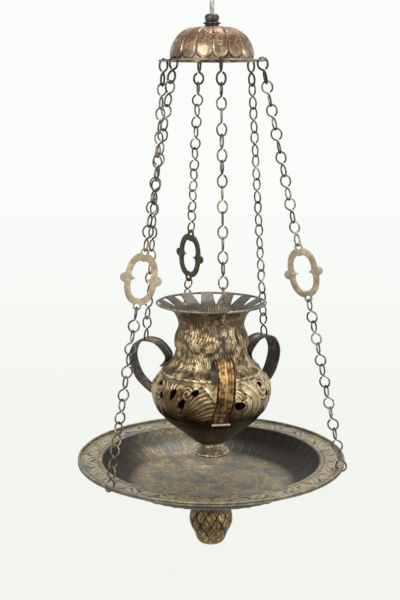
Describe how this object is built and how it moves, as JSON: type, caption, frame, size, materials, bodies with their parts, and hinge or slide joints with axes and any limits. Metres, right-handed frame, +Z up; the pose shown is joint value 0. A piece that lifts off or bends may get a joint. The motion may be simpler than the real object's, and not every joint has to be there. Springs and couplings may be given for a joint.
{
  "type": "hanging sanctuary lamp",
  "caption": "Hanging brass sanctuary lamp: fluted canopy, jack chains, openwork plaques, pierced vase with strap handles above a wide dish with a bell pendant.",
  "frame": {"origin": "the point inside the top of the hanging ring where a hook bears", "axes": "+Z up along the lamp's axis, -Y towards the viewer's front, +X to the viewer's right"},
  "size_m": [0.28, 0.28, 0.608],
  "materials": {
    "ring_wire": "dull, tarnished",
    "canopy_brass": "worn gold lacquer with dark patina in the flutes",
    "chain_wire": "dull, tarnished, silvered",
    "plaque_brass": "matte pale casting",
    "vase_brass": "embossed, bright ridges and dark recesses",
    "dish_silvered": "tarnished silvering over brass",
    "dark_fittings": "dark patina"
  },
  "bodies": {
    "hanger": {"hanging_ring": "ring_wire"},
    "stem_and_canopy": {"stem": "ring_wire", "stem_knob": "canopy_brass", "knob_collar": "canopy_brass", "canopy": "canopy_brass", "canopy_washer": "dark_fittings", "canopy_nut": "dark_fittings"},
    "outer_chain_body_1": {"outer_top_link_1": "chain_wire", "outer_upper_chain_1": "chain_wire", "outer_lower_chain_1": "chain_wire"},
    "outer_chain_body_2": {"outer_top_link_2": "chain_wire", "outer_upper_chain_2": "chain_wire", "outer_lower_chain_2": "chain_wire"},
    "outer_chain_body_3": {"outer_top_link_3": "chain_wire", "outer_upper_chain_3": "chain_wire", "outer_lower_chain_3": "chain_wire"},
    "plaque_body_1": {"plaque_1": "plaque_brass"},
    "plaque_body_2": {"plaque_2": "plaque_brass"},
    "plaque_body_3": {"plaque_3": "plaque_brass"},
    "dish_body": {"dish": "dish_silvered", "dish_bead": "dish_silvered", "centre_rivet": "dish_silvered", "pendant_collar": "dark_fittings", "pendant_bell": "vase_brass", "dish_link_1": "chain_wire", "dish_link_2": "chain_wire", "dish_link_3": "chain_wire"},
    "inner_chain_body_1": {"inner_top_link_1": "chain_wire", "inner_chain_1": "chain_wire"},
    "inner_chain_body_2": {"inner_top_link_2": "chain_wire", "inner_chain_2": "chain_wire"},
    "inner_chain_body_3": {"inner_top_link_3": "chain_wire", "inner_chain_3": "chain_wire"},
    "vase_body": {"vase_rim_wire": "vase_brass", "vase_upper": "vase_brass", "vase_bowl": "vase_brass", "vase_foot": "vase_brass", "handle_1": "vase_brass", "handle_2": "vase_brass", "handle_3": "vase_brass", "handle_link_1": "chain_wire", "handle_link_2": "chain_wire", "handle_link_3": "chain_wire", "shoulder_rivet_1": "dark_fittings", "shoulder_rivet_2": "dark_fittings", "shoulder_rivet_3": "dark_fittings", "belly_upper_rivet_1": "dark_fittings", "belly_upper_rivet_2": "dark_fittings", "belly_upper_rivet_3": "dark_fittings", "belly_lower_rivet_1": "dark_fittings", "belly_lower_rivet_2": "dark_fittings", "belly_lower_rivet_3": "dark_fittings"}
  },
  "joints": [
    {"name": "lamp_swing", "type": "hinge", "parent": "hanger", "child": "stem_and_canopy", "pos_m": [0, 0, -0.0236], "axis": [1, 0, 0], "range_deg": [-20, 20]},
    {"name": "dish_twist", "type": "hinge", "parent": "stem_and_canopy", "child": "dish_body", "pos_m": [0, 0, -0.5], "axis": [0, 0, 1], "range_deg": [-8, 8]},
    {"name": "outer_chain_1_swing", "type": "hinge", "parent": "stem_and_canopy", "child": "outer_chain_body_1", "pos_m": [-0.03608, -0.03484, -0.09749], "axis": [-0.7193, -0.6947, 0], "range_deg": [-4, 4]},
    {"name": "outer_chain_2_swing", "type": "hinge", "parent": "stem_and_canopy", "child": "outer_chain_body_2", "pos_m": [0.04821, -0.01382, -0.09749], "axis": [0.9613, -0.2756, 0], "range_deg": [-4, 4]},
    {"name": "outer_chain_3_swing", "type": "hinge", "parent": "stem_and_canopy", "child": "outer_chain_body_3", "pos_m": [-0.01213, 0.04866, -0.09749], "axis": [-0.2419, 0.9703, 0], "range_deg": [-4, 4]},
    {"name": "plaque_1_turn", "type": "hinge", "parent": "outer_chain_body_1", "child": "plaque_body_1", "pos_m": [-0.06852, -0.06617, -0.3075], "axis": [0.151, 0.1458, 0.9777], "range_deg": [-20, 20]},
    {"name": "plaque_2_turn", "type": "hinge", "parent": "outer_chain_body_2", "child": "plaque_body_2", "pos_m": [0.09156, -0.02625, -0.3075], "axis": [-0.2018, 0.0579, 0.9777], "range_deg": [-20, 20]},
    {"name": "plaque_3_turn", "type": "hinge", "parent": "outer_chain_body_3", "child": "plaque_body_3", "pos_m": [-0.02304, 0.09242, -0.3075], "axis": [0.0508, -0.2037, 0.9777], "range_deg": [-20, 20]},
    {"name": "vase_twist", "type": "hinge", "parent": "stem_and_canopy", "child": "vase_body", "pos_m": [0, 0, -0.4], "axis": [0, 0, 1], "range_deg": [-10, 10]},
    {"name": "inner_chain_1_swing", "type": "hinge", "parent": "stem_and_canopy", "child": "inner_chain_body_1", "pos_m": [-0.04792, 0.01839, -0.09785], "axis": [-0.9336, 0.3584, 0], "range_deg": [-4, 4]},
    {"name": "inner_chain_2_swing", "type": "hinge", "parent": "stem_and_canopy", "child": "inner_chain_body_2", "pos_m": [0.00803, -0.05069, -0.09785], "axis": [0.1564, -0.9877, 0], "range_deg": [-4, 4]},
    {"name": "inner_chain_3_swing", "type": "hinge", "parent": "stem_and_canopy", "child": "inner_chain_body_3", "pos_m": [0.03989, 0.0323, -0.09785], "axis": [0.7771, 0.6293, 0], "range_deg": [-4, 4]}
  ],
  "couplings": [
    {"joint": "outer_chain_1_swing", "follows": "dish_twist", "ratio": 0.34368},
    {"joint": "outer_chain_2_swing", "follows": "dish_twist", "ratio": 0.34368},
    {"joint": "outer_chain_3_swing", "follows": "dish_twist", "ratio": 0.34368},
    {"joint": "inner_chain_1_swing", "follows": "vase_twist", "ratio": 0.27212},
    {"joint": "inner_chain_2_swing", "follows": "vase_twist", "ratio": 0.27212},
    {"joint": "inner_chain_3_swing", "follows": "vase_twist", "ratio": 0.27212}
  ]
}
